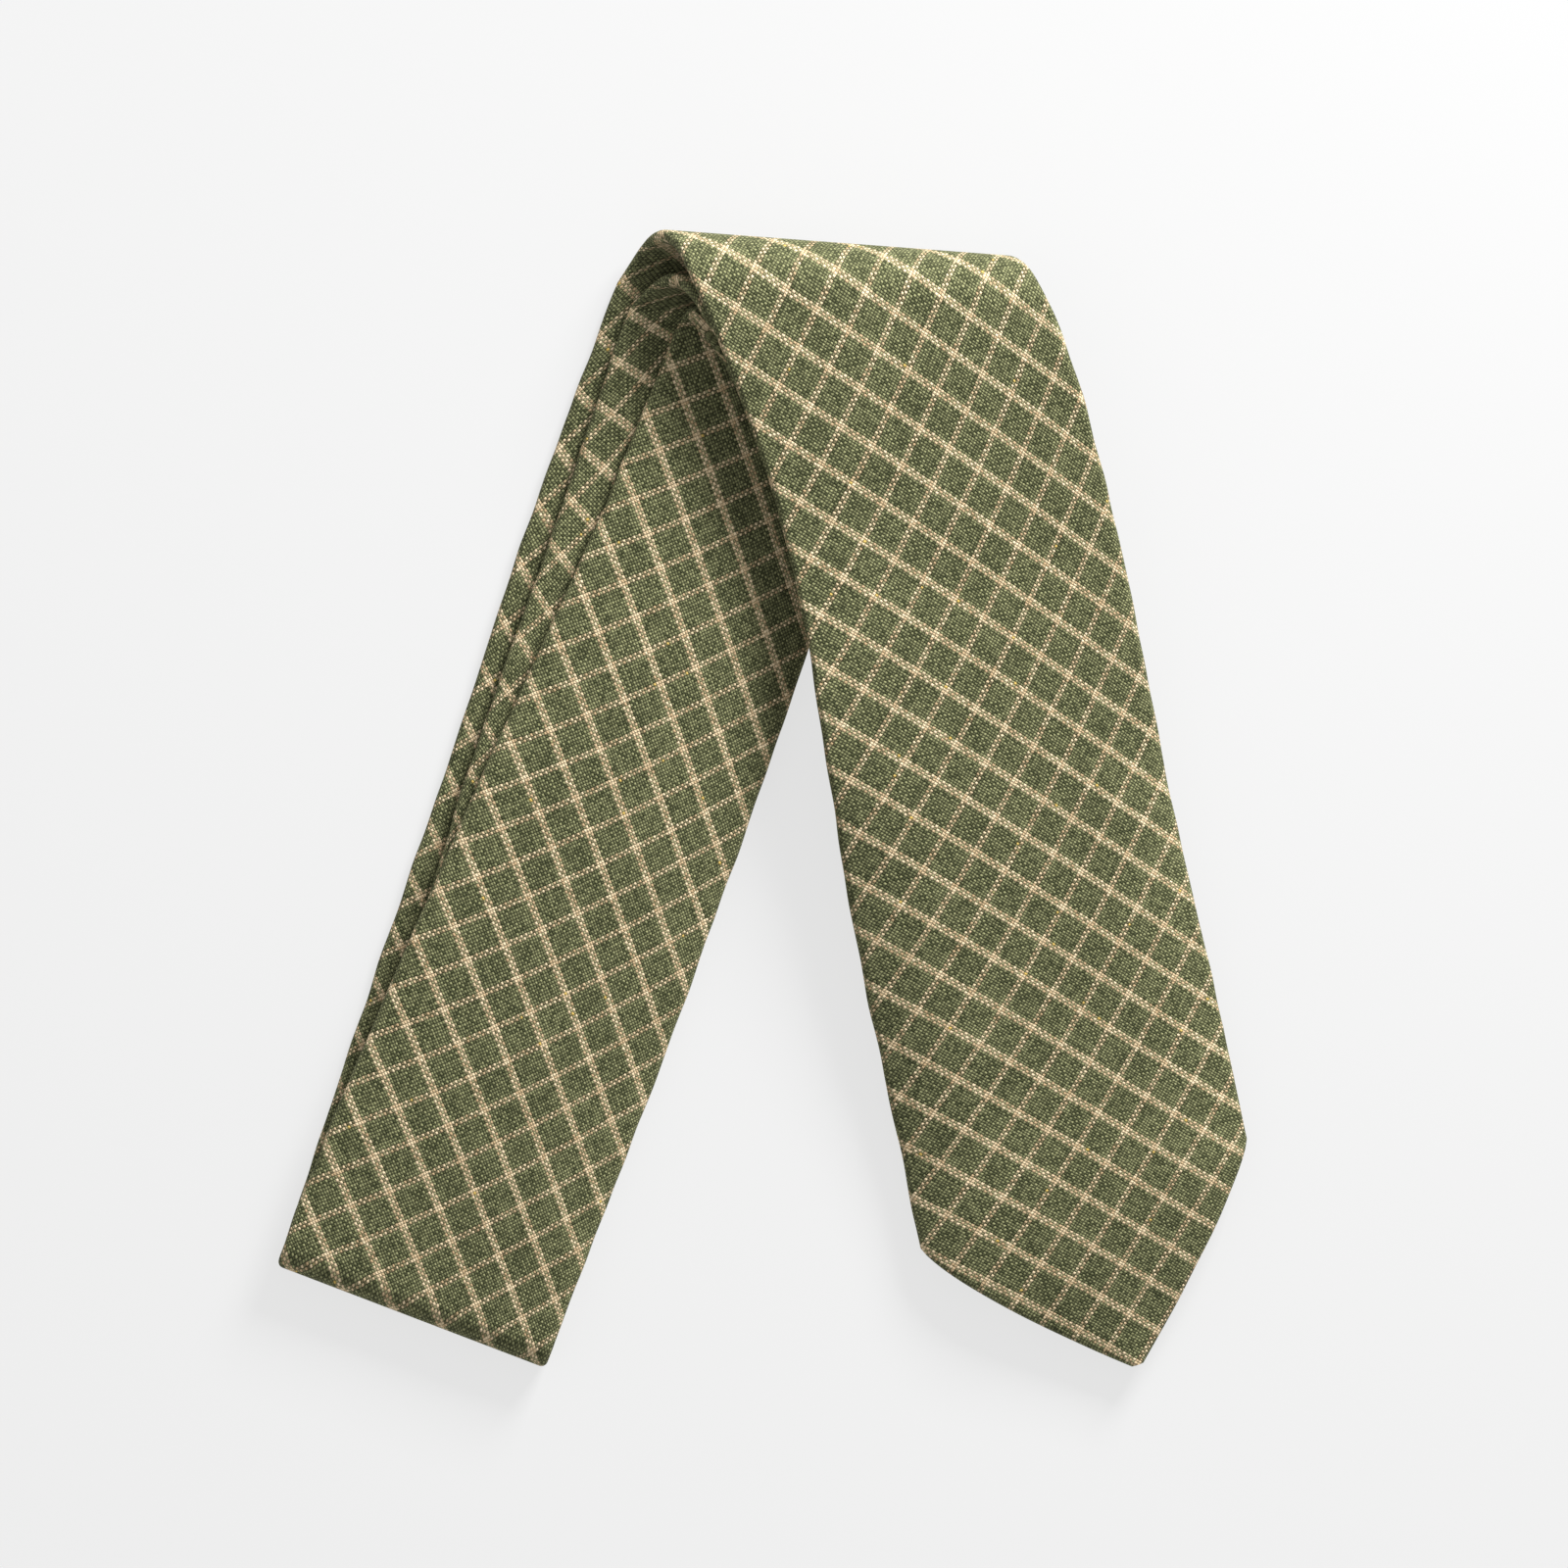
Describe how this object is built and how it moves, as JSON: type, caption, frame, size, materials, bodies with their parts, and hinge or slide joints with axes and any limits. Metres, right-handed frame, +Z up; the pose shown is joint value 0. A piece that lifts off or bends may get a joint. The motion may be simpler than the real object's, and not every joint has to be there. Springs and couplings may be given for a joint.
{
  "type": "necktie",
  "caption": "Lined cotton necktie with a woven check, folded in three and bent over into an upside-down V with the pointed blade on top.",
  "frame": {"origin": "centre of the outline's bounding box, on the surface that the tie lies on", "axes": "+Z up, out of the table; +Y from the open ends of the V towards its apex; the left leg is towards -X"},
  "size_m": [0.2176, 0.2554, 0.0244],
  "materials": {
    "checked_cotton": "plain-woven cotton, muted green with a pale windowpane check, matt",
    "wool_interlining": "brushed wool-blend canvas, undyed",
    "lining_cloth": "fine smooth lining cloth, green, slight sheen",
    "sewing_thread": "spun sewing thread, green",
    "label_tape": "plain woven tape, blank"
  },
  "bodies": {
    "left_leg": {"blade_shell_back": "checked_cotton", "blade_shell_toe_fold": "checked_cotton", "blade_shell_top": "checked_cotton", "blade_shell_apex_fold": "checked_cotton", "blade_shell_inner_fold": "checked_cotton", "tail_shell_end": "checked_cotton", "tail_shell_apex_fold": "checked_cotton", "interlining_back": "wool_interlining", "interlining_toe_fold": "wool_interlining", "interlining_top": "wool_interlining", "interlining_tail": "wool_interlining", "interlining_apex_fold": "wool_interlining", "interlining_middle_fold": "wool_interlining", "interlining_inner_fold": "wool_interlining", "tail_tipping": "lining_cloth", "tail_bar_tack": "sewing_thread", "slip_stitch_back": "sewing_thread", "slip_stitch_top": "sewing_thread", "slip_stitch_tail": "sewing_thread"},
    "right_leg": {"blade_shell_upper": "checked_cotton", "neck_shell_under": "checked_cotton", "neck_shell_heel_fold": "checked_cotton", "neck_shell_middle": "checked_cotton", "tail_shell_middle": "checked_cotton", "interlining_blade_upper": "wool_interlining", "interlining_under": "wool_interlining", "interlining_heel_fold": "wool_interlining", "interlining_middle": "wool_interlining", "slip_stitch_upper": "sewing_thread", "slip_stitch_under": "sewing_thread", "slip_stitch_middle": "sewing_thread"},
    "blade": {"blade_shell_lower": "checked_cotton", "interlining_blade": "wool_interlining", "blade_tipping": "lining_cloth", "keeper_loop": "checked_cotton", "blank_label": "label_tape", "blade_bar_tack": "sewing_thread", "slip_stitch_blade": "sewing_thread"}
  },
  "joints": [
    {"name": "bundle_fold", "type": "hinge", "parent": "left_leg", "child": "right_leg", "pos_m": [0.01594, 0.11241, 0.01219], "axis": [-0.9972, 0.075, 0], "range_deg": [0, 180], "deforming": ["blade_shell_apex_fold", "blade_shell_inner_fold", "tail_shell_apex_fold", "interlining_apex_fold", "interlining_middle_fold", "interlining_inner_fold"]},
    {"name": "blade_lift", "type": "hinge", "parent": "right_leg", "child": "blade", "pos_m": [0.04192, 0.06109, 0.0213], "axis": [-0.9984, -0.0533, 0.02], "range_deg": [0, 75]}
  ]
}
